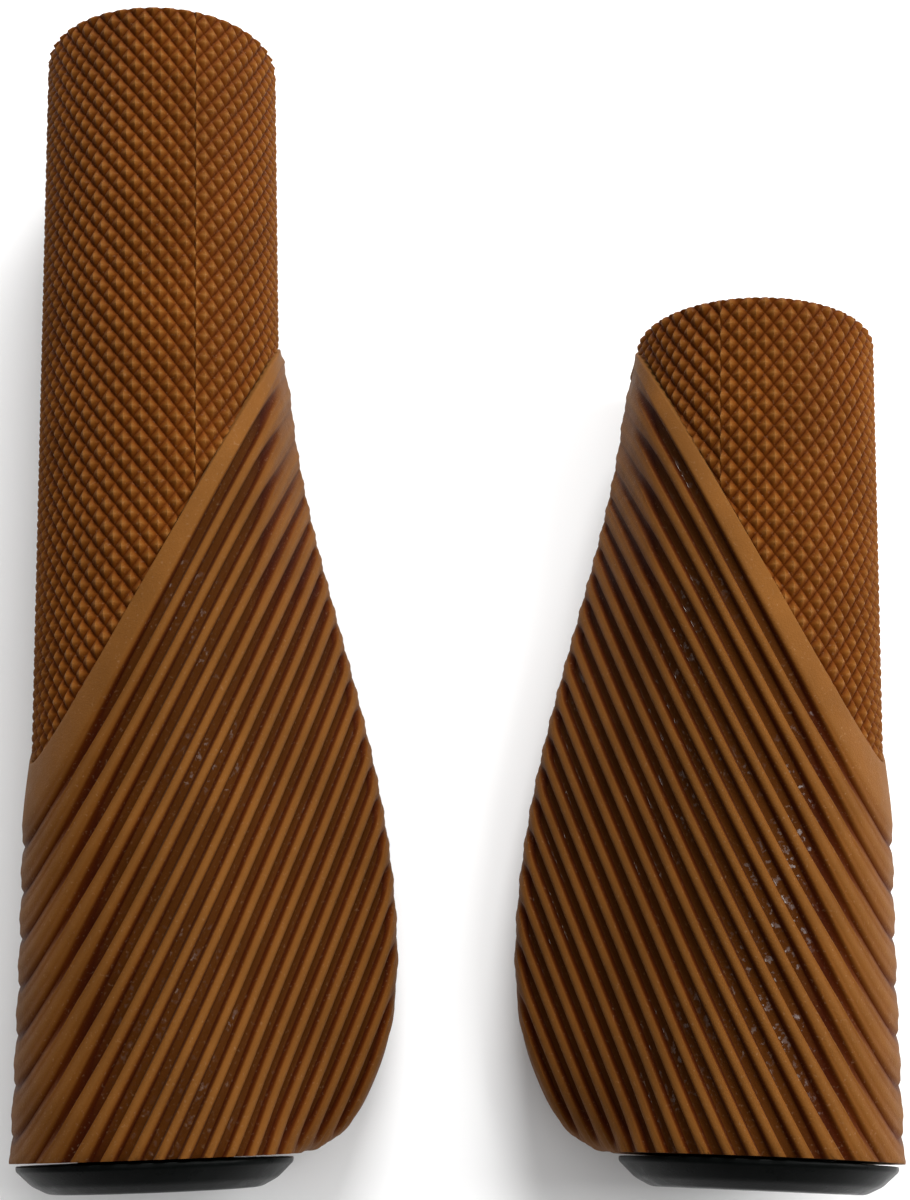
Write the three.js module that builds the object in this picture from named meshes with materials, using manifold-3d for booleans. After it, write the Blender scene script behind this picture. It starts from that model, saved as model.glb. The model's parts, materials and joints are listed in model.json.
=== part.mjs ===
// A pair of ergonomic bicycle handlebar grips: a long one for the left hand and a short one, which
// leaves room for a twist shifter, for the right hand. Each grip is a rigid core that slides over the
// bar, a knurled rubber sleeve, a rubber palm rest with a wing, and an end plug.
// Millimetres, +Z up. The pair lies on a flat surface with its outboard ends towards -Y.
//
// Each grip is built in its own frame: the bar's axis is +Y from the plug's outer face inwards, the
// wing points to +X and the mould seam is on +Z. Angles round the axis are 0 at the wing.
import * as THREE from "three";
import { mergeVertices } from "three/addons/utils/BufferGeometryUtils.js";
import Module from "manifold-3d";

const wasm = await Module();
wasm.setup();

// Driving dimensions
const LONG_LENGTH = 135.5;
const SHORT_LENGTH = 98;
const BAR_R = 11.1;
const BARREL_R = 14.2;
const WING_REACH = 26.5;
const GAP = 0.3;

// End plug
const HEAD_HEIGHT = 3;
const HEAD_BACK_R = 14.8;
const HEAD_FACE_R = 13.1;
const HEAD_EDGE = 0.5;
const STEM_R = 8.3;
const STEM_HOLLOW_R = 6.3;
const STEM_LENGTH = 18;
const BARB_COUNT = 3;
const BARB_HEIGHT = 0.9;
const SLOT_WIDTH = 2;

// Core
const CORE_CLEARANCE = 0.1;
const CORE_R = 12.3;
const PLATE_THICKNESS = 2.4;
const PLATE_INSET = 5;
const PLATE_START = 9;
const PLATE_END = 76;

// Palm rest
const REST_R = 15.05;
const REST_FLARE = 0.6;
const FLARE_LENGTH = 35;
const RIM_R = 5.5;
const WING_PEAK = 26;
const WING_END = 97;
const WING_BASE = 15.2;
const TAPER_POWER = 1.85;
const CORNER_BASE = 15.2;
const FINGER_HOLLOW = 2;

// The palm rest's inboard edge, a slanted ring round the barrel
const EDGE_MIDDLE = 72.3;
const EDGE_SLANT = 26.3;
const EDGE_BOW = 2.7;
const EDGE_LIMIT = SHORT_LENGTH - 1.2;

// How the pair lies
const SPACING = 64.4;
const LEFT_SPLAY = 2;
const RIGHT_SPLAY = -2.4;
const RIGHT_TILT = -1.5;
const ROLL = Math.atan((REST_R - RIM_R) / (WING_REACH - RIM_R));

// Mesh steps
const ROUND_STEPS = 48;
const REST_ROUND_STEPS = 60;
const REST_RINGS = 20;
const REST_RING_POWER = 1.8;
const RIM_CROWDING = 0.5;

const REST_START = HEAD_HEIGHT + GAP;
const BORE_R = BAR_R + CORE_CLEARANCE;
const SLEEVE_BORE_R = CORE_R + GAP;

// ---------------------------------------------------------------- shape of the palm rest

// Half width of the resting palm rest on the wing side, at y along the axis.
function wingWidth(y) {
  if (y < WING_PEAK) {
    const x = Math.min(1, (WING_PEAK - y) / (WING_PEAK - REST_START));
    return CORNER_BASE + (WING_REACH - CORNER_BASE) * Math.sqrt(1 - x * x);
  }
  const x = Math.min(1, (y - WING_PEAK) / (WING_END - WING_PEAK));
  return WING_BASE + (WING_REACH - WING_BASE) * Math.cos((x * Math.PI) / 2) ** TAPER_POWER;
}

// Distance of the rim's own centre from the axis, at y.
function rimCentre(y) {
  return (wingWidth(y) - RIM_R) / Math.cos(ROLL);
}

// Radius of the round part of the palm rest, which flares a little at the outboard end.
function roundRadius(y) {
  return REST_R + REST_FLARE * Math.max(0, 1 - y / FLARE_LENGTH) ** 2;
}

// Distance from the axis to the palm rest's skin at y and angle: the outline round two circles, the
// barrel's and the rim's, with a shallow hollow for the fingers underneath.
function restRadius(y, angle) {
  const round = roundRadius(y);
  const centre = rimCentre(y);
  const a = Math.abs(angle);
  if (centre <= round - RIM_R) return round;
  const tangent = Math.acos((round - RIM_R) / centre);
  const rimEdge = Math.atan2(RIM_R * Math.sin(tangent), centre + RIM_R * Math.cos(tangent));
  if (a >= tangent) return round;
  if (a <= rimEdge) return centre * Math.cos(a) + Math.sqrt(RIM_R ** 2 - (centre * Math.sin(a)) ** 2);
  const across = (a - rimEdge) / (tangent - rimEdge);
  const reach = (centre + RIM_R - round) / (WING_REACH - round);
  const hollow = angle < 0 ? FINGER_HOLLOW * reach * Math.sin(Math.PI * across) ** 2 : 0;
  return round / Math.cos(a - tangent) - hollow;
}

// Where the palm rest ends and the knurled sleeve begins, at an angle.
function restEdge(angle) {
  const slanted = EDGE_MIDDLE + EDGE_SLANT * Math.cos(angle) + EDGE_BOW * Math.sin(angle) ** 2;
  return Math.min(slanted, EDGE_LIMIT);
}

// ---------------------------------------------------------------- solids

function toSolid(geometry) {
  const bare = geometry.clone();
  bare.deleteAttribute("normal");
  bare.deleteAttribute("uv");
  const merged = mergeVertices(bare, 1e-4);
  return new wasm.Manifold(
    new wasm.Mesh({
      numProp: 3,
      vertProperties: new Float32Array(merged.attributes.position.array),
      triVerts: new Uint32Array(merged.index.array),
    }),
  );
}

function toGeometry(solid) {
  const { vertProperties, triVerts } = solid.getMesh();
  const geometry = new THREE.BufferGeometry();
  geometry.setAttribute("position", new THREE.BufferAttribute(vertProperties, 3));
  geometry.setIndex(new THREE.BufferAttribute(triVerts, 1));
  geometry.computeVertexNormals();
  return geometry;
}

// A tube between rings of points. The rings run once round the wall's section, each ring is a list
// of points round the axis, and the last ring joins the first.
function ringSolid(rings) {
  const around = rings[0].length;
  const index = [];
  for (let ring = 0; ring < rings.length; ring += 1) {
    const next = (ring + 1) % rings.length;
    for (let i = 0; i < around; i += 1) {
      const j = (i + 1) % around;
      const [a, b, c, d] = [ring * around + i, ring * around + j, next * around + j, next * around + i];
      index.push(a, d, c, a, c, b);
    }
  }
  const geometry = new THREE.BufferGeometry();
  geometry.setAttribute("position", new THREE.Float32BufferAttribute(rings.flat(2), 3));
  geometry.setIndex(index);
  return geometry;
}

// A ring of points: yAt and radiusAt give its place and size at each angle.
function ring(angles, yAt, radiusAt) {
  return angles.map((angle) => {
    const y = yAt(angle);
    const r = radiusAt(angle, y);
    return [r * Math.cos(angle), y, r * Math.sin(angle)];
  });
}

// Angles round the palm rest, crowded towards the rim of the wing.
function restAngles() {
  return Array.from({ length: REST_ROUND_STEPS }, (_, i) => {
    const turn = (2 * Math.PI * i) / REST_ROUND_STEPS - Math.PI;
    return turn - RIM_CROWDING * Math.sin(turn);
  });
}

function palmRest() {
  const angles = restAngles();
  const bore = () => SLEEVE_BORE_R;
  const rings = [ring(angles, () => REST_START, bore)];
  for (let k = 0; k <= REST_RINGS; k += 1) {
    const part = (k / REST_RINGS) ** REST_RING_POWER;
    const yAt = (angle) => REST_START + (restEdge(angle) - REST_START) * part;
    rings.push(ring(angles, yAt, (angle, y) => restRadius(y, angle)));
  }
  rings.push(ring(angles, restEdge, bore));
  return toGeometry(toSolid(ringSolid(rings)).subtract(toSolid(wingPlate(GAP))));
}

function knurledSleeve(length) {
  const angles = restAngles();
  const edge = (angle) => restEdge(angle) + GAP;
  const end = () => length;
  const bore = () => SLEEVE_BORE_R;
  const skin = () => BARREL_R;
  return ringSolid([
    ring(angles, edge, bore),
    ring(angles, edge, skin),
    ring(angles, end, skin),
    ring(angles, end, bore),
  ]);
}

// The core's stiff plate inside the wing, made larger all round by spare.
function wingPlate(spare) {
  const steps = 12;
  const outline = new THREE.Shape();
  outline.moveTo(BORE_R + CORE_CLEARANCE, PLATE_START - spare);
  for (let i = 0; i <= steps; i += 1) {
    const y = PLATE_START - spare + ((PLATE_END - PLATE_START + 2 * spare) * i) / steps;
    outline.lineTo(rimCentre(y) + RIM_R - PLATE_INSET + spare, y);
  }
  outline.lineTo(BORE_R + CORE_CLEARANCE, PLATE_END + spare);
  const depth = PLATE_THICKNESS + 2 * spare;
  return new THREE.ExtrudeGeometry(outline, { depth, bevelEnabled: false }).translate(0, 0, -depth / 2);
}

function core(length) {
  const wall = [
    new THREE.Vector2(BORE_R, REST_START),
    new THREE.Vector2(CORE_R, REST_START),
    new THREE.Vector2(CORE_R, length),
    new THREE.Vector2(BORE_R, length),
    new THREE.Vector2(BORE_R, REST_START),
  ];
  const tube = toSolid(new THREE.LatheGeometry(wall, ROUND_STEPS));
  return toGeometry(tube.add(toSolid(wingPlate(0))));
}

// The plug's outline from its outer face, over the tapered head and along the barbed stem.
function plugProfile() {
  const points = [
    new THREE.Vector2(0, 0),
    new THREE.Vector2(HEAD_FACE_R - HEAD_EDGE, 0),
    new THREE.Vector2(HEAD_FACE_R, HEAD_EDGE),
    new THREE.Vector2(HEAD_BACK_R, HEAD_HEIGHT),
    new THREE.Vector2(STEM_R, HEAD_HEIGHT),
  ];
  const pitch = STEM_LENGTH / (BARB_COUNT + 1);
  for (let i = 1; i <= BARB_COUNT; i += 1) {
    const y = HEAD_HEIGHT + i * pitch;
    points.push(new THREE.Vector2(STEM_R, y));
    points.push(new THREE.Vector2(STEM_R + BARB_HEIGHT, y));
    points.push(new THREE.Vector2(STEM_R, y + pitch / 2));
  }
  points.push(new THREE.Vector2(STEM_R, HEAD_HEIGHT + STEM_LENGTH));
  points.push(new THREE.Vector2(STEM_HOLLOW_R, HEAD_HEIGHT + STEM_LENGTH));
  points.push(new THREE.Vector2(STEM_HOLLOW_R, HEAD_HEIGHT));
  points.push(new THREE.Vector2(0, HEAD_HEIGHT));
  return points;
}

function endPlug() {
  const slotLength = STEM_LENGTH * 0.75;
  const middle = HEAD_HEIGHT + STEM_LENGTH - slotLength / 2 + GAP;
  const wide = new THREE.BoxGeometry(4 * STEM_R, slotLength, SLOT_WIDTH).translate(0, middle, 0);
  const deep = new THREE.BoxGeometry(SLOT_WIDTH, slotLength, 4 * STEM_R).translate(0, middle, 0);
  const body = toSolid(new THREE.LatheGeometry(plugProfile(), ROUND_STEPS));
  return toGeometry(body.subtract(toSolid(wide)).subtract(toSolid(deep)));
}

// ---------------------------------------------------------------- assembly

const RUBBER = new THREE.MeshStandardMaterial({ color: 0x8a4f24, roughness: 0.65, metalness: 0 });
const CORE_PLASTIC = new THREE.MeshStandardMaterial({ color: 0x1b1c1e, roughness: 0.5, metalness: 0 });
const PLUG_PLASTIC = new THREE.MeshStandardMaterial({ color: 0x14181b, roughness: 0.35, metalness: 0 });

function piece(name, geometry, material) {
  const mesh = new THREE.Mesh(geometry, material);
  mesh.name = name;
  return mesh;
}

function degrees(angle) {
  return (angle * Math.PI) / 180;
}

// side is 1 with the wing towards +X and -1 for the mirrored grip, and the grip rests on the surface.
function grip(name, length, side, splay, tilt) {
  const own = new THREE.Group();
  own.scale.x = side;
  own.add(piece(`${name}_core`, core(length), CORE_PLASTIC));
  own.add(piece(`${name}_knurled_sleeve`, knurledSleeve(length), RUBBER));
  own.add(piece(`${name}_palm_rest`, palmRest(), RUBBER));
  own.add(piece(`${name}_end_plug`, endPlug(), PLUG_PLASTIC));
  const laid = new THREE.Group();
  laid.rotation.set(degrees(tilt), side * ROLL, degrees(splay), "ZXY");
  laid.position.x = (-side * SPACING) / 2;
  laid.add(own);
  laid.position.z = -new THREE.Box3().setFromObject(laid, true).min.z;
  return laid;
}

const group = new THREE.Group();
group.add(grip("left", LONG_LENGTH, 1, LEFT_SPLAY, 0));
group.add(grip("right", SHORT_LENGTH, -1, RIGHT_SPLAY, RIGHT_TILT));
const box = new THREE.Box3().setFromObject(group, true);
group.position.x = -(box.min.x + box.max.x) / 2;
group.position.y = -(box.min.y + box.max.y) / 2;

export default group;
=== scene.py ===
"""The looks of a pair of ergonomic bicycle handlebar grips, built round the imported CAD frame.

A long grip for the left hand and a short one for the right hand lie on a pale surface. Each has a
rigid core, a knurled rubber sleeve, a ribbed rubber palm rest with a wing, and an end plug.
Everything is in metres, in the frame of the CAD model.

Each grip is shaped in its own frame as arrays of points and then laid where its mounts say: y runs
along the bar's axis from the plug's outer face, the wing points to +x and the sleeve's two mould
seams are on +z and -z. Angles round the axis are 0 at the wing.
"""

import json
import math

import bmesh
import bpy
import numpy as np
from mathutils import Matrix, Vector


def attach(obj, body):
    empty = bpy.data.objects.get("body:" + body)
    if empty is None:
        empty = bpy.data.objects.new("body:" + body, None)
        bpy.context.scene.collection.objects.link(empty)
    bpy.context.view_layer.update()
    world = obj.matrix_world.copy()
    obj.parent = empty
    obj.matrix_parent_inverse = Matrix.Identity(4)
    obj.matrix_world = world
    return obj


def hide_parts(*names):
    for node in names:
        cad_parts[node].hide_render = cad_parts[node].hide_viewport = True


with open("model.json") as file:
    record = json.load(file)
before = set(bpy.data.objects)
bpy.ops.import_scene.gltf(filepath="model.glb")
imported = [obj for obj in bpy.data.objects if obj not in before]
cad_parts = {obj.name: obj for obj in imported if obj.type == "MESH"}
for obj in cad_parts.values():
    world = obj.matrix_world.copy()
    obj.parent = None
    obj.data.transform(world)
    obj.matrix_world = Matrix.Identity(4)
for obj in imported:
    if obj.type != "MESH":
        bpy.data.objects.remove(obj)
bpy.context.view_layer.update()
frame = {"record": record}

MM = 0.001

# The shape that the CAD model has too
BAR_R = 11.1 * MM
BARREL_R = 14.2 * MM
WING_REACH = 26.5 * MM
HEAD_HEIGHT = 3 * MM
HEAD_BACK_R = 14.8 * MM
HEAD_FACE_R = 13.1 * MM
HEAD_BEVEL = 0.9 * MM
AXIS_R = 0.01 * MM
STEM_R = 8.3 * MM
STEM_HOLLOW_R = 6.3 * MM
STEM_LENGTH = 18 * MM
BARB_COUNT = 3
BARB_HEIGHT = 0.9 * MM
SLOT_WIDTH = 2 * MM
SLOT_LENGTH = 0.75 * STEM_LENGTH
SLOT_OVERRUN = 0.3 * MM
BORE_R = 11.2 * MM
CORE_R = 12.3 * MM
SLEEVE_BORE_R = 12.6 * MM
PLATE_THICKNESS = 2.4 * MM
PLATE_INSET = 5 * MM
PLATE_ROOT_R = BAR_R + 0.3 * MM
PLATE_START = 9 * MM
PLATE_END = 76 * MM
REST_START = 3.3 * MM
REST_R = 15.05 * MM
REST_FLARE = 0.6 * MM
FLARE_LENGTH = 35 * MM
RIM_R = 5.5 * MM
WING_PEAK = 26 * MM
WING_END = 97 * MM
WING_BASE = 15.2 * MM
TAPER_POWER = 1.85
FINGER_HOLLOW = 2 * MM
EDGE_MIDDLE = 72.3 * MM
EDGE_SLANT = 26.3 * MM
EDGE_BOW = 2.7 * MM
EDGE_MARGIN = 1.2 * MM
ROLL = math.atan((REST_R - RIM_R) / (WING_REACH - RIM_R))

# Ribs: grooves cut along parallel planes y = RIB_START + RIB_SLANT x + RIB_LEAN z - n RIB_PITCH,
# the first of which bend outboard at the wing's rim. Widths across a rib, and how far it bends, are
# in pitches.
RIB_START = 68.9 * MM
RIB_SLANT = 1.98
RIB_LEAN = 0.165
RIB_PITCH = 5.03 * MM
BEND_FROM = 2
BEND_TO = 9
BEND_POWER = 2
BEND_DEPTH = 0.5
BEND_RIM_DRIFT = 0.65 * MM
BEND_END = 1.1
BEND_ROUNDS = 12
STEEP_CREST = 0.21
STEEP_WALL = 0.09
GENTLE_CREST = 0.13
GENTLE_WALL = 0.22
GENTLE_NARROWING = 0.8
GROOVE_DEPTH = 0.9 * MM
CREST_DOME = 0.12 * MM
PARTING_FROM = 0.12
PARTING_TO = 0.6
PARTING_DEPTH = 0.15
FAR_SIDE_FROM = 0.05
FAR_SIDE_TO = 0.75
FAR_SIDE_DEPTH = 0.5
NARROWING = 0.17
PULL = np.array([-math.sin(ROLL), 0, math.cos(ROLL)])
BAND_MARGIN = 0.9 * MM
BAND_FADE_END = 1.7 * BAND_MARGIN
BAND_FOOT_R = 14.4 * MM
BAND_CROWN = 1.4
BAND_ROUND = 0.25 * MM
BAND_TAPER = 7 * MM
BAND_TAPER_COS_FROM = 0.5
BAND_TAPER_COS_TO = 0.95
BAND_LEAST = 1.2 * MM

# Knurl: a staggered lattice of four-sided teeth, in two halves that meet at the mould seams
TOOTH_PITCH = 2.53 * MM
TOOTH_DEPTH = 0.62 * MM
TEETH_PER_HALF = 44
SEAM_LAP = 0.15
SEAM_WIDTH = 0.04
VALLEY_RISE = 0.12
TOOTH_STEPS = 4
TOOTH_TOP = 0.8
TOOTH_TOP_BLEND = 0.12
END_ROUND = 0.35 * MM
END_CLEARANCE = 0.1 * MM
SLEEVE_GAP = 0.1 * MM


# ------------------------------------------------------------------ shape of the palm rest


def wing_width(y):
    """Half width of the resting palm rest on the wing side."""
    ahead = np.clip((WING_PEAK - y) / (WING_PEAK - REST_START), 0, 1)
    behind = np.clip((y - WING_PEAK) / (WING_END - WING_PEAK), 0, 1)
    corner = np.sqrt(1 - ahead**2)
    taper = np.cos(behind * math.pi / 2) ** TAPER_POWER
    return WING_BASE + (WING_REACH - WING_BASE) * np.where(y < WING_PEAK, corner, taper)


def round_radius(y):
    """Radius of the round part, which flares a little at the outboard end."""
    return REST_R + REST_FLARE * np.maximum(0, 1 - y / FLARE_LENGTH) ** 2


def rest_radius(y, angle):
    """Distance from the axis to the skin without its ribs: the outline round the barrel's circle
    and the rim's, with a shallow hollow for the fingers underneath."""
    barrel = round_radius(y)
    centre = (wing_width(y) - RIM_R) / math.cos(ROLL)
    a = np.abs(angle)
    tangent = np.arccos(np.clip((barrel - RIM_R) / centre, -1, 1))
    rim_edge = np.arctan2(RIM_R * np.sin(tangent), centre + RIM_R * np.cos(tangent))
    rim = centre * np.cos(a) + np.sqrt(np.maximum(RIM_R**2 - (centre * np.sin(a)) ** 2, 0))
    across = np.clip((a - rim_edge) / np.maximum(tangent - rim_edge, 1e-6), 0, 1)
    reach = (centre + RIM_R - barrel) / (WING_REACH - barrel)
    hollow = np.where(angle < 0, FINGER_HOLLOW * reach * np.sin(math.pi * across) ** 2, 0)
    web = barrel / np.cos(np.clip(a - tangent, -1.5, 1.5)) - hollow
    skin = np.where(a <= rim_edge, rim, web)
    return np.where((centre <= barrel - RIM_R) | (a >= tangent), barrel, skin)


def rest_edge(angle, length):
    """Where the palm rest ends and the knurled sleeve begins, on a grip of that length."""
    slanted = EDGE_MIDDLE + EDGE_SLANT * np.cos(angle) + EDGE_BOW * np.sin(angle) ** 2
    return np.minimum(slanted, length - EDGE_MARGIN)


def smoothstep(low, high, x):
    """0 below low, 1 above high and a smooth rise between them."""
    t = np.clip((x - low) / (high - low), 0, 1)
    return t * t * (3 - 2 * t)


def rib_bend(phase, x):
    """How many pitches a rib lies outboard of its plane. Only the ribs next to the band bend, more
    and more until just past the wing's rim."""
    rim = WING_BASE + BEND_RIM_DRIFT * np.maximum(0, phase - BEND_FROM / 2)
    fade = 1 - smoothstep(BEND_FROM, BEND_TO, phase)
    return BEND_DEPTH * fade * np.clip(x / rim, 0, BEND_END) ** BEND_POWER


def rib_phase(points):
    """Which rib a point lies on: a whole number on a crest, about a half in a groove."""
    x, y, z = points.T
    straight = (RIB_START + RIB_SLANT * x + RIB_LEAN * z - y) / RIB_PITCH
    phase = straight
    for _ in range(BEND_ROUNDS):
        phase = straight - rib_bend(phase, x)
    return phase


def band_taper(angle, y, length):
    """How far the skin is drawn in towards the sleeve, where the band comes round to the wing."""
    beside_wing = smoothstep(BAND_TAPER_COS_FROM, BAND_TAPER_COS_TO, np.cos(angle))
    nearness = 1 - smoothstep(0, BAND_TAPER, rest_edge(angle, length) - y)
    return (REST_R - BAND_FOOT_R) * beside_wing * nearness


def groove_depth(points, normals, length):
    """How deep the grooves are at these points of the bare skin. A groove is steep on the side
    next to the rim and gentle on the other. Grooves get shallow and narrow on the side away from
    the wing and where the skin turns parallel to the way its mould opens."""
    phase = rib_phase(points)
    off_crest = phase - np.round(phase)
    facing = smoothstep(PARTING_FROM, PARTING_TO, np.abs(normals @ PULL))
    far_side = smoothstep(FAR_SIDE_FROM, FAR_SIDE_TO, -normals @ np.cross([0, 1, 0], PULL))
    narrow = NARROWING * np.maximum(1 - facing, far_side)
    facing = np.maximum(facing, far_side)
    steep = smoothstep(STEEP_CREST + narrow, STEEP_CREST + STEEP_WALL + narrow, -off_crest)
    gentle_end = GENTLE_CREST + GENTLE_WALL + GENTLE_NARROWING * narrow
    gentle = smoothstep(GENTLE_CREST + narrow, gentle_end, off_crest)
    cut = (steep + gentle) * (phase > 0)
    cut = cut * (PARTING_DEPTH + (1 - PARTING_DEPTH) * facing)
    cut = cut * (FAR_SIDE_DEPTH + (1 - FAR_SIDE_DEPTH) * (1 - far_side))
    across = np.maximum(-off_crest / STEEP_CREST, off_crest / GENTLE_CREST)
    dome = CREST_DOME * np.clip(across, 0, 1) ** 2 * (phase > 0)
    angle = np.arctan2(points[:, 2], points[:, 0])
    inside_band = rest_edge(angle, length) - points[:, 1]
    fade = smoothstep(BAND_MARGIN, BAND_FADE_END, inside_band)
    return (dome + (GROOVE_DEPTH - dome) * cut) * fade


# ------------------------------------------------------------------ palm rest mesh

ROUND_STEPS = 256
RIM_CROWDING = 0.6
ROW_GAP = 0.02 * MM
OVERRUN = 2 * MM
ON_PLANE = 0.01 * MM
NORMAL_STEP = 0.05 * MM
CORNER_SAMPLES = 2000
ACROSS_SAMPLES = 400
RAY_CENTRE = 0.4
RAY_REACH = 2.6 * WING_REACH
RAY_STEPS = 80
RAY_HALVINGS = 24
FACE_RING = 0.6 * MM
BAND_ROUND_ROWS = 4
BAND_ROWS = 9

# Rows of the mesh across a rib: on its crest and in the groove on both sides, in pitches from the
# crest, and on the walls of the groove, in widths of the wall and a little past its ends
CREST_ROWS = [-0.1, 0.02]
GROOVE_ROW_BEFORE = [-0.4]
GROOVE_ROW_AFTER = [0.44]
STEEP_ROWS = np.linspace(-0.15, 1.1, 6)
GENTLE_ROWS = np.linspace(-0.05, 1.05, 6)
FIRST_ROW = 0.05
LAST_ROWS = 0.4 * np.linspace(0.05, 1, 8) ** 2


def outside_rest(points):
    """Above 0 outside the bare palm rest, which runs on past its outboard end as a blunt cone."""
    x, y, z = points[..., 0], points[..., 1], points[..., 2]
    beyond = np.maximum(REST_START - y, 0)
    skin = rest_radius(np.maximum(y, REST_START), np.arctan2(z, x)) - beyond
    return np.maximum(np.hypot(x, z) - skin, beyond - OVERRUN)


def in_plane(phase, x, z):
    """The points of the rib plane of that phase, with its bend, over x and z."""
    y = RIB_START + RIB_SLANT * x + RIB_LEAN * z - (phase + rib_bend(phase, x)) * RIB_PITCH
    return np.stack(np.broadcast_arrays(x, y, z), axis=-1)


def last_phase():
    """The phase of the rib plane that just touches the wing's outboard corner."""
    y = np.linspace(REST_START, WING_PEAK, CORNER_SAMPLES)
    tip = rest_radius(y, np.zeros_like(y))
    return rib_phase(np.stack([tip, y, 0 * y], axis=1)).max()


def plane_section(phases, turns):
    """Where rays in each rib plane, at these turns round its middle, leave the palm rest."""
    across = np.linspace(-REST_R, WING_REACH / math.cos(ROLL), ACROSS_SAMPLES)
    held = outside_rest(in_plane(phases[:, None], across[None], 0 * across[None])) < 0
    first = across[held.argmax(axis=1)]
    last = across[len(across) - 1 - held[:, ::-1].argmax(axis=1)]
    middle = np.maximum(0, first + RAY_CENTRE * (last - first))

    def reach(distance):
        x = middle[:, None] + distance * np.cos(turns)[None]
        return in_plane(phases[:, None], x, distance * np.sin(turns)[None])

    step = RAY_REACH / RAY_STEPS
    near = np.zeros((len(phases), len(turns)))
    open_ray = np.ones(near.shape, bool)
    for i in range(1, RAY_STEPS + 1):
        open_ray &= outside_rest(reach(np.full(near.shape, i * step))) < 0
        near = np.where(open_ray, i * step, near)
    far = near + step
    for _ in range(RAY_HALVINGS):
        half = (near + far) / 2
        inner = outside_rest(reach(half)) < 0
        near = np.where(inner, half, near)
        far = np.where(inner, far, half)
    return reach(far)


def skin_normals(points):
    """Outward normals of the bare skin."""
    slopes = []
    for axis in np.eye(3) * NORMAL_STEP:
        sides = []
        for sign in (1, -1):
            x, y, z = (points + sign * axis).T
            skin = rest_radius(np.maximum(y, REST_START), np.arctan2(z, x))
            sides.append(np.hypot(x, z) - skin)
        slopes.append(sides[0] - sides[1])
    normals = np.stack(slopes, axis=1)
    return normals / np.linalg.norm(normals, axis=1)[:, None]


def rib_phases(top):
    """Phases of the mesh rows: close together on the groove walls and towards the last one."""
    steep = STEEP_CREST + STEEP_WALL * STEEP_ROWS
    gentle = GENTLE_CREST + GENTLE_WALL * GENTLE_ROWS
    pitch = np.concatenate([GROOVE_ROW_BEFORE, -steep[::-1], CREST_ROWS, gentle, GROOVE_ROW_AFTER])
    phases = (np.arange(0, math.ceil(top) + 1)[:, None] + pitch[None]).ravel()
    near_top = top - LAST_ROWS
    phases = phases[(phases > FIRST_ROW) & (phases < near_top.min())]
    return np.sort(np.concatenate([phases, near_top]))


def ring(r, y, angles):
    """Points at radius r from the y axis."""
    return np.stack(np.broadcast_arrays(r * np.cos(angles), y, r * np.sin(angles)), axis=-1)


def band_rows(angles, first_row, length):
    """The palm rest's inboard edge and the smooth band up to the first row of the ribs."""
    edge = rest_edge(angles, length)
    bore = np.full_like(angles, SLEEVE_BORE_R)
    rows = [(edge, bore), (edge, bore + FACE_RING)]
    for turn in np.linspace(0, math.pi / 2, BAND_ROUND_ROWS):
        y = edge - BAND_ROUND * (1 - math.cos(turn))
        rows.append((y, BAND_FOOT_R - BAND_ROUND * (1 - math.sin(turn)) + 0 * angles))
    for part in np.linspace(0, 1, BAND_ROWS + 2)[1:-1]:
        y = (edge - BAND_ROUND) * (1 - part) + first_row * part
        rise = 1 - (1 - part) ** BAND_CROWN
        skin = rest_radius(y, angles) - band_taper(angles, y, length)
        rows.append((y, BAND_FOOT_R + (skin - BAND_FOOT_R) * rise))
    return [ring(r, y, angles) for y, r in rows]


def grid_faces(rows, columns):
    """Quads of a grid of points whose columns close on themselves."""
    i = np.arange(rows - 1)[:, None] * columns
    j = np.arange(columns)[None]
    k = (j + 1) % columns
    return np.stack([i + j, i + k, i + columns + k, i + columns + j], axis=-1).reshape(-1, 4)


def boundary_edges(bm):
    return [edge for edge in bm.edges if len(edge.link_faces) == 1]


def close_rest(bm):
    """Cuts the palm rest off flat at its outboard end and closes it through the bore."""
    everything = list(bm.verts) + list(bm.edges) + list(bm.faces)
    bmesh.ops.bisect_plane(
        bm, geom=everything, plane_co=(0, REST_START, 0), plane_no=(0, -1, 0), clear_outer=True
    )
    rim = [e for e in boundary_edges(bm) if all(v.co.y < REST_START + ON_PLANE for v in e.verts)]
    made = bmesh.ops.extrude_edge_only(bm, edges=rim)
    for vert in (v for v in made["geom"] if isinstance(v, bmesh.types.BMVert)):
        scale = SLEEVE_BORE_R / math.hypot(vert.co.x, vert.co.z)
        vert.co.x *= scale
        vert.co.z *= scale
    bmesh.ops.bridge_loops(bm, edges=boundary_edges(bm))


def ribbed_points(length):
    """Rows of points over the band and the ribs, and how deep in a groove each is, from 0 to 1."""
    turn = np.linspace(-math.pi, math.pi, ROUND_STEPS, endpoint=False)
    turns = turn - RIM_CROWDING * np.sin(turn)
    sections = plane_section(rib_phases(last_phase()), turns)
    edge = rest_edge(np.arctan2(sections[..., 2], sections[..., 0]), length)
    squeeze = np.arange(len(sections))[:, None] * ROW_GAP
    limit = edge - BAND_ROUND - BAND_LEAST - squeeze
    sections[..., 1] = np.minimum(sections[..., 1], limit)
    band = np.concatenate(band_rows(turns, sections[0, :, 1], length))
    skin = sections.reshape(-1, 3)
    normals = skin_normals(skin)
    depth = groove_depth(skin, normals, length)
    angle = np.arctan2(skin[:, 2], skin[:, 0])
    drawn_in = depth + band_taper(angle, skin[:, 1], length)
    skin = skin - normals * drawn_in[:, None]
    groove = np.concatenate([np.zeros(len(band)), depth / GROOVE_DEPTH])
    return np.concatenate([band, skin]), groove


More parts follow.
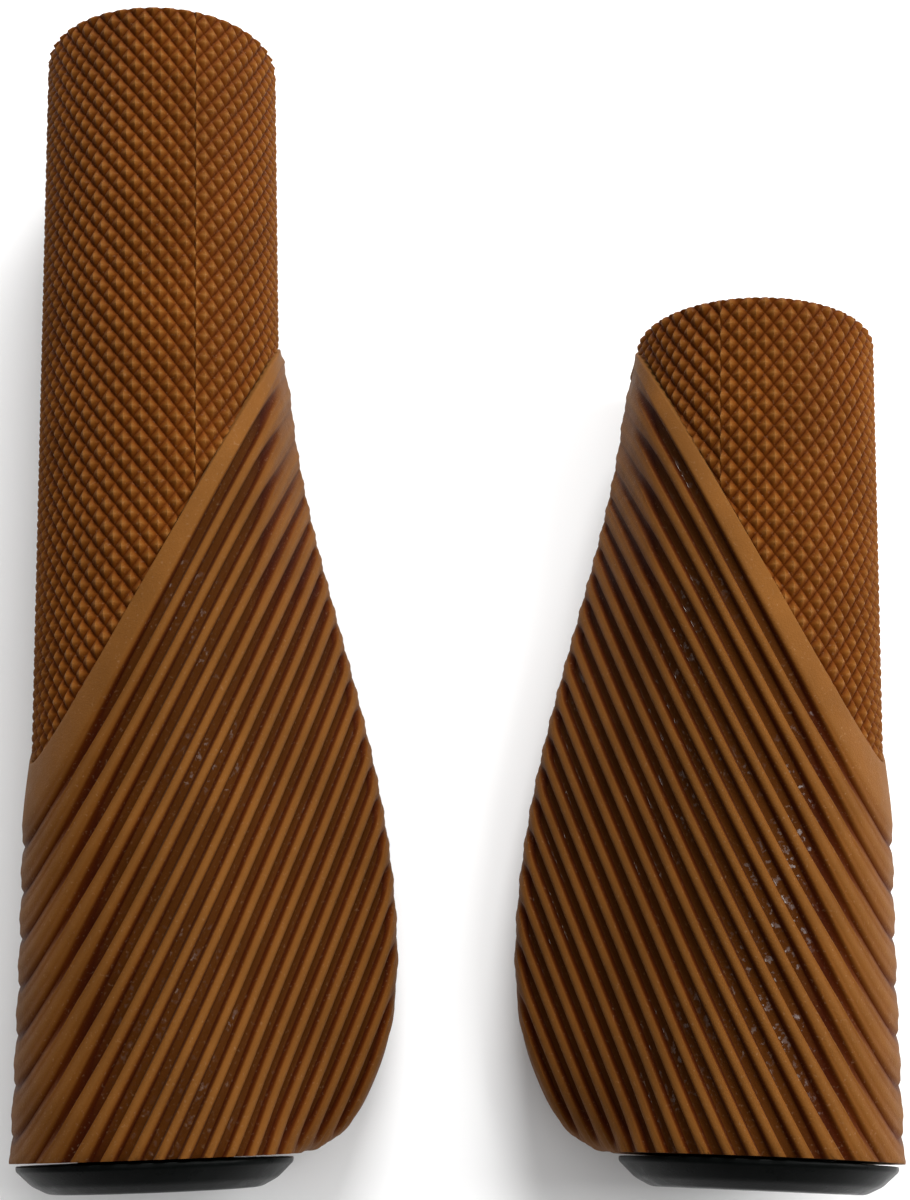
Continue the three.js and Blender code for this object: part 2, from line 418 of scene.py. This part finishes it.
def palm_rest(grip):
    """The ribbed palm rest. Its rows of points follow the rib planes, so every rib edge is crisp."""
    points, groove = ribbed_points(grip["length"])
    rows = len(points) // ROUND_STEPS
    faces = [tuple(face) for face in grid_faces(rows, ROUND_STEPS)]
    faces.append(tuple(range((rows - 1) * ROUND_STEPS, rows * ROUND_STEPS)))
    mesh = own_mesh(f"{grip['name']}_palm_rest_skin", points, faces)
    store(mesh, "groove", groove)
    bm = bmesh_of(mesh)
    close_rest(bm)
    return finished(mesh, bm, grip, sharp_degrees=50)


# ------------------------------------------------------------------ knurled sleeve mesh


def tooth_height(u, v, half):
    """Height from 0 to 1 over the lattice, whose teeth stand where u and v are whole and u + v even.
    The valleys that fall away from the mould seams are deeper than those that cross them."""
    rising = np.abs((u + v) % 2 - 1)
    falling = np.abs((u - v) % 2 - 1)
    deep, shallow = (rising, falling) if half else (falling, rising)
    pyramid = np.minimum(deep, VALLEY_RISE + (1 - VALLEY_RISE) * shallow)
    mix = np.clip(0.5 + 0.5 * (TOOTH_TOP - pyramid) / TOOTH_TOP_BLEND, 0, 1)
    blunted = TOOTH_TOP * (1 - mix) + pyramid * mix - TOOTH_TOP_BLEND * mix * (1 - mix)
    return blunted / TOOTH_TOP


def knurl_columns():
    """(angle, place across the lattice, which half) of each column. A mould seam has no place."""
    steps_across = TEETH_PER_HALF + 2 * SEAM_LAP
    inner = np.arange(TEETH_PER_HALF * TOOTH_STEPS + 1) / TOOTH_STEPS
    places = np.concatenate([[SEAM_WIDTH - SEAM_LAP], inner, [TEETH_PER_HALF + SEAM_LAP - SEAM_WIDTH]])
    columns = []
    for half in (0, 1):
        start = math.pi / 2 + half * math.pi
        columns.append((start, None, half))
        for place in places:
            columns.append((start + math.pi * (place + SEAM_LAP) / steps_across, place, half))
    return columns


def knurl_points(length):
    """Rings of points over the sleeve, from its bore out and back, and how high each is on a tooth."""
    columns = knurl_columns()
    angles = np.array([angle for angle, _, _ in columns])
    start = rest_edge(angles, length) + SLEEVE_GAP
    step = TOOTH_PITCH / 2 / TOOTH_STEPS
    row_y = np.arange(math.floor(start.min() / step), math.ceil(length / step)) * step
    row_y = np.append(row_y[row_y < length - END_ROUND - END_CLEARANCE], [length - END_ROUND, length])
    y = np.maximum(row_y[:, None], start[None])
    height = np.zeros(y.shape)
    for j, (_, place, half) in enumerate(columns):
        if place is not None:
            height[:, j] = tooth_height(y[:, j] / (TOOTH_PITCH / 2) + half, place, half)
    radius = BARREL_R - TOOTH_DEPTH * (1 - height)
    radius[-1] = np.minimum(radius[-1], BARREL_R - END_ROUND)
    bore = np.full((1, len(angles)), SLEEVE_BORE_R)
    rings_r = np.concatenate([bore, radius, bore])
    rings_y = np.concatenate([start[None], y, np.full((1, len(angles)), length)])
    tooth = np.concatenate([0 * bore, height, 0 * bore])
    return ring(rings_r, rings_y, angles), tooth


def triangles(quads, height):
    """Two triangles from each quad, cut along its lower diagonal, so that valleys stay sharp."""
    a, b, c, d = quads.T
    valley = (height[a] + height[c] < height[b] + height[d])[:, None]
    first = np.where(valley, np.stack([a, b, c], 1), np.stack([a, b, d], 1))
    second = np.where(valley, np.stack([a, c, d], 1), np.stack([b, c, d], 1))
    return [tuple(face) for face in np.concatenate([first, second])]


def knurled_sleeve(grip):
    """The barrel's rubber skin: real teeth, cut off by the palm rest's edge and the mould seams."""
    points, tooth = knurl_points(grip["length"])
    rows, around = tooth.shape
    faces = triangles(grid_faces(rows, around), tooth.ravel())
    last = (rows - 1) * around
    for j in range(around):
        k = (j + 1) % around
        faces.append((last + j, last + k, k, j))
    mesh = own_mesh(f"{grip['name']}_knurled_sleeve_skin", points.reshape(-1, 3), faces)
    store(mesh, "tooth", tooth.ravel())
    bm = bmesh_of(mesh)
    bmesh.ops.remove_doubles(bm, verts=bm.verts, dist=WELD)
    return finished(mesh, bm, grip, sharp_degrees=60)


# ------------------------------------------------------------------ core and end plug meshes

LATHE_STEPS = 160
FILLET_STEPS = 4
PLATE_STEPS = 40


def rounded(corners):
    """An outline of (radius, y, fillet) corners, each rounded over the fillet's length of its sides."""
    outline = []
    count = len(corners)
    for i in range(count):
        r, y, fillet = corners[i]
        here = np.array([r, y])
        back = np.array(corners[i - 1][:2]) - here
        ahead = np.array(corners[(i + 1) % count][:2]) - here
        if fillet == 0:
            outline.append(here)
            continue
        back, ahead = (side / np.linalg.norm(side) for side in (back, ahead))
        for k in range(FILLET_STEPS + 1):
            t = k / FILLET_STEPS
            outline.append(here + fillet * (back * (1 - t) ** 2 + ahead * t**2))
    return outline


def lathe(name, outline):
    """A solid of revolution about y, from a closed outline of (radius, y) points."""
    turn = np.linspace(0, 2 * math.pi, LATHE_STEPS, endpoint=False)
    rows = [ring(r, y, turn) for r, y in [*outline, outline[0]]]
    faces = [tuple(face) for face in grid_faces(len(rows), LATHE_STEPS)]
    mesh = own_mesh(name, np.concatenate(rows), faces)
    bm = bmesh_of(mesh)
    bmesh.ops.remove_doubles(bm, verts=bm.verts, dist=WELD)
    return mesh, bm


def wing_plate(bm):
    """Adds the core's stiff plate inside the wing."""
    y = np.linspace(PLATE_START, PLATE_END, PLATE_STEPS)
    reach = (wing_width(y) - RIM_R) / math.cos(ROLL) + RIM_R - PLATE_INSET
    outline = [(PLATE_ROOT_R, PLATE_START), *zip(reach, y, strict=True), (PLATE_ROOT_R, PLATE_END)]
    verts = [bm.verts.new((x, along, -PLATE_THICKNESS / 2)) for x, along in outline]
    made = bmesh.ops.extrude_face_region(bm, geom=[bm.faces.new(verts)])
    for vert in (v for v in made["geom"] if isinstance(v, bmesh.types.BMVert)):
        vert.co.z += PLATE_THICKNESS


def core(grip):
    """The rigid tube that slides over the bar, with its plate in the wing."""
    length = grip["length"]
    outline = rounded(
        [
            (BORE_R, REST_START, 0.2 * MM),
            (CORE_R, REST_START, 0.2 * MM),
            (CORE_R, length, 0.3 * MM),
            (BORE_R, length, 0.4 * MM),
        ]
    )
    mesh, bm = lathe(f"{grip['name']}_core_skin", outline)
    wing_plate(bm)
    return finished(mesh, bm, grip, sharp_degrees=40)


def plug_outline():
    """Outline of the end plug: a tapered head with rounded edges and a barbed, hollow stem."""
    corners = [
        (AXIS_R, 0, 0),
        (HEAD_FACE_R - 2 * HEAD_BEVEL, 0, 0.5 * MM),
        (HEAD_FACE_R, HEAD_BEVEL, 0.4 * MM),
        (HEAD_BACK_R, HEAD_HEIGHT - 0.5 * MM, 0.25 * MM),
        (HEAD_BACK_R, HEAD_HEIGHT, 0.15 * MM),
        (STEM_R, HEAD_HEIGHT, 0.3 * MM),
    ]
    pitch = STEM_LENGTH / (BARB_COUNT + 1)
    for i in range(1, BARB_COUNT + 1):
        y = HEAD_HEIGHT + i * pitch
        corners.append((STEM_R, y, 0))
        corners.append((STEM_R + BARB_HEIGHT, y, 0.15 * MM))
        corners.append((STEM_R, y + pitch / 2, 0.3 * MM))
    corners.append((STEM_R, HEAD_HEIGHT + STEM_LENGTH, 0.4 * MM))
    corners.append((STEM_HOLLOW_R, HEAD_HEIGHT + STEM_LENGTH, 0.4 * MM))
    corners.append((STEM_HOLLOW_R, HEAD_HEIGHT, 0.5 * MM))
    corners.append((AXIS_R, HEAD_HEIGHT, 0))
    return rounded(corners)


def box_cutter(across_x, across_z):
    """A box of that width and height that cuts a slot in the plug's stem, open at the stem's end."""
    bm = bmesh.new()
    bmesh.ops.create_cube(bm, size=1)
    middle = HEAD_HEIGHT + STEM_LENGTH - SLOT_LENGTH / 2 + SLOT_OVERRUN
    for vert in bm.verts:
        x, y, z = vert.co
        vert.co = (x * across_x, y * SLOT_LENGTH + middle, z * across_z)
    mesh = bpy.data.meshes.new("cutter")
    bm.to_mesh(mesh)
    bm.free()
    return added("cutter", mesh)


def end_plug(grip):
    """The end plug, with two slots across its stem."""
    mesh, bm = lathe(f"{grip['name']}_end_plug_skin", plug_outline())
    bmesh.ops.recalc_face_normals(bm, faces=bm.faces)
    bm.to_mesh(mesh)
    bm.free()
    plug = added("plug", mesh)
    through = 4 * STEM_R
    cutters = [box_cutter(through, SLOT_WIDTH), box_cutter(SLOT_WIDTH, through)]
    for cutter in cutters:
        cut = plug.modifiers.new("slot", "BOOLEAN")
        cut.operation = "DIFFERENCE"
        cut.solver = "EXACT"
        cut.object = cutter
    evaluated = plug.evaluated_get(bpy.context.evaluated_depsgraph_get())
    bm = bmesh_of(evaluated.to_mesh())
    for made in [plug, *cutters]:
        bpy.data.objects.remove(made)
    return finished(mesh, bm, grip, sharp_degrees=40)


# ------------------------------------------------------------------ placing the grips

WELD = 0.002 * MM


def added(name, data):
    """A new object in the scene."""
    made = bpy.data.objects.new(name, data)
    bpy.context.scene.collection.objects.link(made)
    return made


def bmesh_of(mesh):
    bm = bmesh.new()
    bm.from_mesh(mesh)
    return bm


def store(mesh, name, values):
    """Keeps a number for each point of the mesh, for its material to read."""
    attribute = mesh.attributes.new(name, "FLOAT", "POINT")
    attribute.data.foreach_set("value", values.astype(np.float32))


def own_mesh(name, points, faces):
    mesh = bpy.data.meshes.new(name)
    mesh.from_pydata([tuple(p) for p in np.asarray(points)], [], faces)
    return mesh


def finished(mesh, bm, grip, sharp_degrees):
    """Lays the shape where its grip lies and makes its object, smooth except at sharp edges."""
    for vert in bm.verts:
        vert.co = grip["origin"] + grip["x"] * vert.co.x + grip["y"] * vert.co.y + grip["z"] * vert.co.z
    bmesh.ops.recalc_face_normals(bm, faces=bm.faces)
    bm.to_mesh(mesh)
    bm.free()
    mesh.shade_smooth()
    mesh.set_sharp_from_angle(angle=math.radians(sharp_degrees))
    return added(mesh.name, mesh)


def placed_grip(name, wing_sign):
    """A grip's own frame in the shared frame, from its two mounts."""
    mounts = {mount["name"]: mount for mount in frame["record"]["mounts"]}
    outer = mounts[f"{name}_outer_face"]
    inboard = Vector(mounts[f"{name}_inboard_face"]["pos_m"])
    origin = Vector(outer["pos_m"])
    along = -Vector(outer["axis"]).normalized()
    length = (inboard - origin).dot(along)
    up = (inboard - origin - length * along).normalized()
    across = along.cross(up) * wing_sign
    return {"name": name, "length": length, "origin": origin, "x": across, "y": along, "z": up}


# ------------------------------------------------------------------ materials

NOISE_ROUGHNESS = 0.55


class Look:
    """A node material that is built up step by step."""

    def __init__(self, name):
        self.material = bpy.data.materials.new(name)
        self.material.use_nodes = True
        self.tree = self.material.node_tree
        self.shader = self.tree.nodes["Principled BSDF"]
        self.place = self.node("ShaderNodeTexCoord").outputs["Object"]

    def node(self, kind, inputs=None, **settings):
        made = self.tree.nodes.new(kind)
        for key, value in settings.items():
            setattr(made, key, value)
        for key, value in (inputs or {}).items():
            self.set(made.inputs[key], value)
        return made

    def set(self, socket, value):
        if isinstance(value, bpy.types.NodeSocket):
            self.tree.links.new(value, socket)
        else:
            socket.default_value = value

    def shade(self, inputs):
        """Sets inputs of the surface shader, by name."""
        for key, value in inputs.items():
            self.set(self.shader.inputs[key], value)

    def noise(self, size, detail):
        """Noise whose lumps are about size metres across."""
        made = self.node(
            "ShaderNodeTexNoise",
            {"Vector": self.place, "Scale": 1 / size, "Detail": detail, "Roughness": NOISE_ROUGHNESS},
        )
        return made.outputs["Fac"]

    def attribute(self, name):
        return self.node("ShaderNodeAttribute", attribute_name=name).outputs["Fac"]

    def ramp(self, value, stops):
        """A ramp of (position, colour) stops. A number stands for a grey."""
        made = self.node("ShaderNodeValToRGB", {"Fac": value})
        elements = made.color_ramp.elements
        while len(elements) < len(stops):
            elements.new(0.5)
        for element, (position, colour) in zip(elements, stops, strict=True):
            element.position = position
            grey = isinstance(colour, (int, float))
            element.color = (colour, colour, colour, 1) if grey else (*colour, 1)
        return made.outputs["Color"]

    def remap(self, value, low, high, to_low=0.0, to_high=1.0):
        made = self.node(
            "ShaderNodeMapRange",
            {"Value": value, "From Min": low, "From Max": high, "To Min": to_low, "To Max": to_high},
        )
        return made.outputs["Result"]

    def times(self, a, b):
        return self.node("ShaderNodeMath", {0: a, 1: b}, operation="MULTIPLY").outputs[0]

    def plus(self, a, b):
        return self.node("ShaderNodeMath", {0: a, 1: b}, operation="ADD").outputs[0]

    def mix(self, factor, a, b, blend="MIX"):
        made = self.node("ShaderNodeMix", data_type="RGBA", blend_type=blend)
        self.set(made.inputs[0], factor)
        self.set(made.inputs[6], a if isinstance(a, bpy.types.NodeSocket) else (*a, 1))
        self.set(made.inputs[7], b if isinstance(b, bpy.types.NodeSocket) else (*b, 1))
        return made.outputs[2]

    def bump(self, *layers):
        """Bumps from (height, depth in metres) layers."""
        normal = None
        for height, depth in layers:
            inputs = {"Height": height, "Distance": depth, "Strength": 1.0}
            if normal is not None:
                inputs["Normal"] = normal
            normal = self.node("ShaderNodeBump", inputs).outputs["Normal"]
        self.set(self.shader.inputs["Normal"], normal)


def wet_glints(look, relief):
    """How wet the groove floors are: in small patches, most of them on the right grip."""
    glints = look.remap(look.noise(0.7 * MM, 4), 0.55, 0.62)
    patches = look.remap(look.noise(14 * MM, 3), 0.48, 0.56)
    floor_only = look.remap(relief, 0.85, 1.0)
    along_x = look.node("ShaderNodeSeparateXYZ", {"Vector": look.place}).outputs["X"]
    right_grip = look.remap(along_x, 0, 20 * MM, 0.2, 1.0)
    return look.times(look.times(glints, patches), look.times(floor_only, right_grip))


def rubber(name, attribute, shaded_colours, roughness, wet=False):
    """Brown rubber: its colour follows the relief, painted darker in grooves and valleys as shade, and
    its gloss follows it too, with mottling, dust and a fine grain.
    """
    look = Look(name)
    relief = look.attribute(attribute)
    mottle = look.remap(look.noise(9 * MM, 4), 0.3, 0.7, 0.86, 1.12)
    grey = look.node("ShaderNodeCombineColor", {"Red": mottle, "Green": mottle, "Blue": mottle})
    # Painted shade: the ramp over the relief darkens the hollows of the rubber.
    base = look.mix(1.0, look.ramp(relief, shaded_colours), grey.outputs[0], "MULTIPLY")
    dust = look.remap(look.noise(0.35 * MM, 2), 0.62, 0.78, 0, 0.14)
    worn = look.remap(look.noise(2.2 * MM, 4), 0.3, 0.7, -0.07, 0.07)
    look.shade(
        {
            "Base Color": look.mix(dust, base, (0.42, 0.28, 0.17)),
            "Roughness": look.plus(look.ramp(relief, roughness), worn),
            "Specular IOR Level": 0.04,
            "Specular Tint": (1.0, 0.5, 0.2, 1),
            "Sheen Weight": 0.035,
            "Sheen Roughness": 0.45,
            "Sheen Tint": (1.0, 0.8, 0.55, 1),
        }
    )
    if wet:
        look.shade({"Coat Weight": wet_glints(look, relief), "Coat Roughness": 0.13})
    look.bump((look.noise(0.22 * MM, 4), 0.05 * MM), (look.noise(1.6 * MM, 3), 0.04 * MM))
    return look.material


def ribbed_rubber():
    # Painted shade: the rubber is painted darker down the groove walls, darkest near their foot and a
    # little lighter on the groove floors.
    shaded_colours = [
        (0.0, (0.132, 0.051, 0.011)),
        (0.12, (0.115, 0.040, 0.007)),
        (0.45, (0.056, 0.011, 0.001)),
        (0.85, (0.028, 0.004, 0.001)),
        (1.0, (0.050, 0.014, 0.002)),
    ]
    roughness = [(0.0, 0.62), (0.5, 0.55), (1.0, 0.5)]
    return rubber("ribbed_rubber", "groove", shaded_colours, roughness, wet=True)


def knurled_rubber():
    # Painted shade: the rubber is painted darker down into the valleys between the teeth and lighter
    # towards their tips.
    shaded_colours = [
        (0.0, (0.066, 0.013, 0.001)),
        (0.45, (0.102, 0.027, 0.003)),
        (0.85, (0.138, 0.048, 0.008)),
        (1.0, (0.185, 0.078, 0.022)),
    ]
    roughness = [(0.0, 0.6), (1.0, 0.55)]
    return rubber("knurled_rubber", "tooth", shaded_colours, roughness)


def black_plastic(name, roughness, grain):
    """Moulded black plastic with a faint grain and a little dust."""
    look = Look(name)
    mottle = look.remap(look.noise(4 * MM, 3), 0.3, 0.7)
    base = look.mix(mottle, (0.0015, 0.002, 0.0018), (0.003, 0.0035, 0.0033))
    dust = look.remap(look.noise(0.3 * MM, 2), 0.66, 0.8, 0, 0.07)
    worn = look.remap(look.noise(1.5 * MM, 4), 0.3, 0.7, roughness - 0.05, roughness + 0.07)
    look.shade(
        {
            "Base Color": look.mix(dust, base, (0.12, 0.12, 0.12)),
            "Roughness": worn,
            "Specular IOR Level": 0.03,
        }
    )
    look.bump((look.noise(0.25 * MM, 3), grain))
    return look.material


def pale_floor():
    look = Look("floor")
    base = look.mix(look.noise(30 * MM, 3), (0.86, 0.86, 0.86), (0.90, 0.90, 0.90))
    look.shade({"Base Color": base, "Roughness": 0.8})
    return look.material


# ------------------------------------------------------------------ floor, lights and camera

FLOOR_R = 2.0
WALL_RISE = 2.0
WALL_ROWS = 13
FLOOR_STEPS = 64
LIGHT_TARGET = (0, 0, 10 * MM)
WORLD_STRENGTH = 0.28
CAMERA_PLACE = (0.27 * MM, -61.2 * MM, 230.7 * MM)
CAMERA_PITCH = 15.43
CAMERA_LENS = 57.4
CAMERA_CLIP_START = 10 * MM


def floor():
    """A round pale floor that curves up into a wall far from the grips, so no horizon shows."""
    turn = np.linspace(0, 2 * math.pi, FLOOR_STEPS, endpoint=False)
    rows = [np.zeros((FLOOR_STEPS, 3))]
    for lean in np.linspace(0, math.pi / 2, WALL_ROWS):
        r = FLOOR_R + WALL_RISE * math.sin(lean)
        z = WALL_RISE * (1 - math.cos(lean))
        rows.append(np.stack([r * np.cos(turn), r * np.sin(turn), np.full(FLOOR_STEPS, z)], axis=1))
    faces = [tuple(face) for face in grid_faces(len(rows), FLOOR_STEPS)]
    mesh = own_mesh("floor", np.concatenate(rows), faces)
    mesh.shade_smooth()
    mesh.materials.append(pale_floor())
    made = added("floor", mesh)


def area_light(name, place, size, power):
    """A square light that points at the grips."""
    light = bpy.data.lights.new(name, "AREA")
    light.shape = "SQUARE"
    light.size = size
    light.energy = power
    made = added(name, light)
    made.location = place
    made.rotation_euler = (Vector(LIGHT_TARGET) - Vector(place)).to_track_quat("-Z", "Y").to_euler()


def sky_light(name, strength, degrees_across):
    """A wide, soft light from straight above that lights the whole floor alike."""
    light = bpy.data.lights.new(name, "SUN")
    light.energy = strength
    light.angle = math.radians(degrees_across)
    made = added(name, light)


def lights():
    area_light("window", (0.30, 0.03, 0.40), size=0.22, power=1.1)
    area_light("side", (0.30, 0.0, 0.12), size=0.15, power=0.65)
    area_light("key", (0.06, 0.49, 0.31), size=0.24, power=4.3)
    sky_light("fill", strength=0.7, degrees_across=50)
    world = bpy.data.worlds.new("studio")
    world.use_nodes = True
    background = world.node_tree.nodes["Background"]
    background.inputs["Color"].default_value = (1, 1, 1, 1)
    background.inputs["Strength"].default_value = WORLD_STRENGTH
    bpy.context.scene.world = world


def camera():
    lens = bpy.data.cameras.new("camera")
    lens.lens = CAMERA_LENS
    lens.clip_start = CAMERA_CLIP_START
    made = added("camera", lens)
    made.location = CAMERA_PLACE
    made.rotation_euler = (math.radians(CAMERA_PITCH), 0, 0)
    bpy.context.scene.camera = made


# ------------------------------------------------------------------ assembly


def dress(piece, body, material):
    """Gives a piece its material and its body, and hides the CAD node that it stands for."""
    piece.data.materials.append(material)
    node = piece.name.removesuffix("_skin")
    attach(piece, body)
    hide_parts(node)


def build_grips():
    looks = {
        "core_plastic": black_plastic("core_plastic", roughness=0.5, grain=0.03 * MM),
        "knurled_rubber": knurled_rubber(),
        "ribbed_rubber": ribbed_rubber(),
        "plug_plastic": black_plastic("plug_plastic", roughness=0.3, grain=0.015 * MM),
    }
    for name, wing_sign in (("left", 1), ("right", -1)):
        grip = placed_grip(name, wing_sign)
        parts = [
            (core(grip), "grip", "core_plastic"),
            (knurled_sleeve(grip), "grip", "knurled_rubber"),
            (palm_rest(grip), "grip", "ribbed_rubber"),
            (end_plug(grip), "plug", "plug_plastic"),
        ]
        for piece, body, slot_name in parts:
            dress(piece, f"{name}_{body}", looks[slot_name])


build_grips()
floor()
lights()
camera()
bpy.context.scene.view_settings.view_transform = "Standard"
